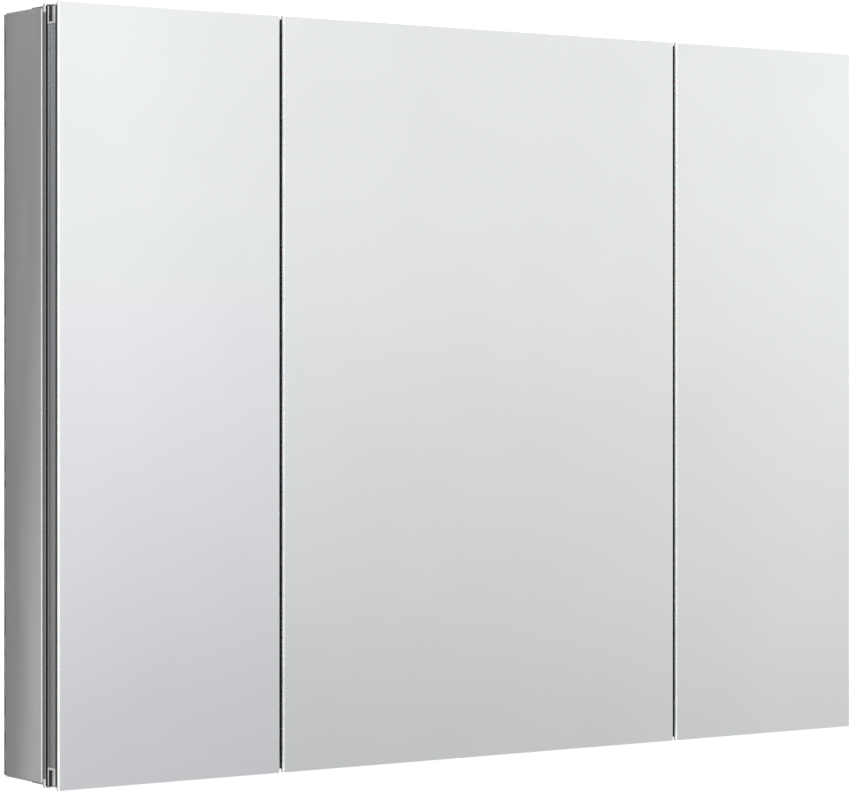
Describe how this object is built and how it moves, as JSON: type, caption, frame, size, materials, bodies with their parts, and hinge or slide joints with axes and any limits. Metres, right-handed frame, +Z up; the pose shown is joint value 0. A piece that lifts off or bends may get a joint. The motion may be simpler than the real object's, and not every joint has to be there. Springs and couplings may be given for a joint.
{
  "type": "medicine cabinet with mirror",
  "caption": "Shallow wall cabinet with mirrored doors in a row on pivot hinges, an aluminium body with mirrored back, and glass shelves on pins.",
  "frame": {"origin": "middle of the back panel's rear face, on the wall", "axes": "+X to the right as seen from the front, +Y into the wall, +Z up"},
  "size_m": [1.016, 0.12, 0.762],
  "materials": {
    "anodised_body": "satin anodised, extruded",
    "zinc_back": "zinc-coated sheet, folded",
    "back_mirror": "silvered glass, ground edge",
    "anodised_trim": "satin anodised, extruded",
    "moulded_corner": "moulded, light grey",
    "key_nylon": "moulded nylon",
    "black_seal": "extruded, matt black",
    "shelf_glass": "tempered, polished edge",
    "nickel_steel": "nickel plated",
    "black_plastic": "moulded",
    "magnet_housing": "moulded, white",
    "mirror_glass": "silvered float glass, polished arris",
    "hinge_bush": "moulded acetal"
  },
  "bodies": {
    "root": {"left_side_panel": "anodised_body", "right_side_panel": "anodised_body", "top_panel": "anodised_body", "bottom_panel": "anodised_body", "left_divider": "anodised_body", "right_divider": "anodised_body", "back_panel": "zinc_back", "left_back_mirror": "back_mirror", "centre_back_mirror": "back_mirror", "right_back_mirror": "back_mirror", "left_collar": "anodised_trim", "right_collar": "anodised_trim", "top_collar": "anodised_trim", "bottom_collar": "anodised_trim", "left_mullion": "anodised_trim", "right_mullion": "anodised_trim", "collar_corner_caps": "moulded_corner", "corner_keys": "key_nylon", "left_shelves": "shelf_glass", "centre_shelves": "shelf_glass", "right_shelves": "shelf_glass", "shelf_pins": "nickel_steel", "hinge_plates": "nickel_steel", "hinge_pins": "nickel_steel", "countersunk_screws": "nickel_steel", "mounting_grommets": "black_plastic", "magnet_catches": "magnet_housing"},
    "left_door": {"left_door_mirror": "mirror_glass", "left_door_gasket": "black_seal", "left_door_seal": "black_seal", "left_door_inner_mirror": "back_mirror", "left_door_hinge_stile": "anodised_trim", "left_door_free_stile": "anodised_trim", "left_door_top_rail": "anodised_trim", "left_door_bottom_rail": "anodised_trim", "left_door_corners": "moulded_corner", "left_door_bushes": "hinge_bush", "left_door_strikes": "nickel_steel"},
    "centre_door": {"centre_door_mirror": "mirror_glass", "centre_door_gasket": "black_seal", "centre_door_seal": "black_seal", "centre_door_inner_mirror": "back_mirror", "centre_door_hinge_stile": "anodised_trim", "centre_door_free_stile": "anodised_trim", "centre_door_top_rail": "anodised_trim", "centre_door_bottom_rail": "anodised_trim", "centre_door_corners": "moulded_corner", "centre_door_bushes": "hinge_bush", "centre_door_strikes": "nickel_steel"},
    "right_door": {"right_door_mirror": "mirror_glass", "right_door_gasket": "black_seal", "right_door_seal": "black_seal", "right_door_inner_mirror": "back_mirror", "right_door_hinge_stile": "anodised_trim", "right_door_free_stile": "anodised_trim", "right_door_top_rail": "anodised_trim", "right_door_bottom_rail": "anodised_trim", "right_door_corners": "moulded_corner", "right_door_bushes": "hinge_bush", "right_door_strikes": "nickel_steel"}
  },
  "joints": [
    {"name": "left_door_hinge", "type": "hinge", "parent": "root", "child": "left_door", "pos_m": [-0.4975, -0.10957, 0], "axis": [0, 0, -1], "range_deg": [0, 100]},
    {"name": "centre_door_hinge", "type": "hinge", "parent": "root", "child": "centre_door", "pos_m": [0.241, -0.10957, 0], "axis": [0, 0, 1], "range_deg": [0, 100]},
    {"name": "right_door_hinge", "type": "hinge", "parent": "root", "child": "right_door", "pos_m": [0.4975, -0.10957, 0], "axis": [0, 0, 1], "range_deg": [0, 100]}
  ]
}
